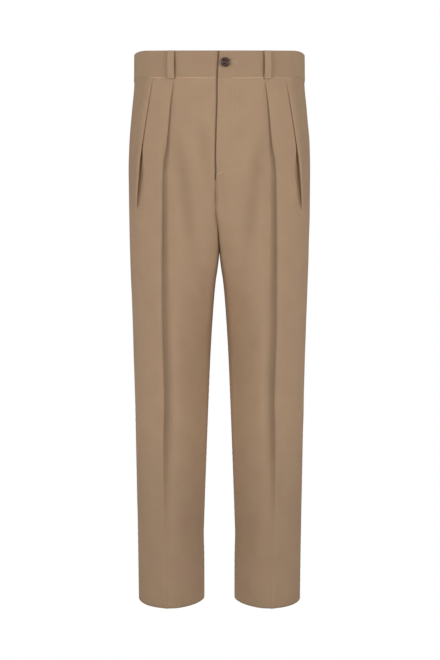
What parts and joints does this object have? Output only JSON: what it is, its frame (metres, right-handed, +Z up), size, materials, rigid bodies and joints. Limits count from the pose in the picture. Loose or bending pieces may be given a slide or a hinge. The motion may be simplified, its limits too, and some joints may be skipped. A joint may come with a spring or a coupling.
{
  "type": "pleated trousers",
  "caption": "Tailored trousers with forward pleats, pressed creases, belt loops and a buttoned waistband, filled out as if worn.",
  "frame": {"origin": "middle of the waist, half way up the waistband, where the wearer's waist holds the trousers", "axes": "+Z up, -Y to the front, +X to the wearer's left"},
  "size_m": [0.3424, 0.2703, 1.062],
  "materials": {
    "twill": "matt tan twill with a soft sheen",
    "horn": "satin dark brown",
    "thread": "matt brown sewing thread"
  },
  "bodies": {
    "root": {"front_left": "twill", "front_right": "twill", "back_left": "twill", "back_right": "twill", "waistband_front_left": "twill", "waistband_front_right": "twill", "waistband_back_left": "twill", "waistband_back_right": "twill", "belt_loop_front_left": "twill", "belt_loop_front_right": "twill", "belt_loop_back_left": "twill", "belt_loop_back_right": "twill", "belt_loop_back_centre": "twill", "button": "horn", "button_shank": "thread"}
  },
  "joints": []
}
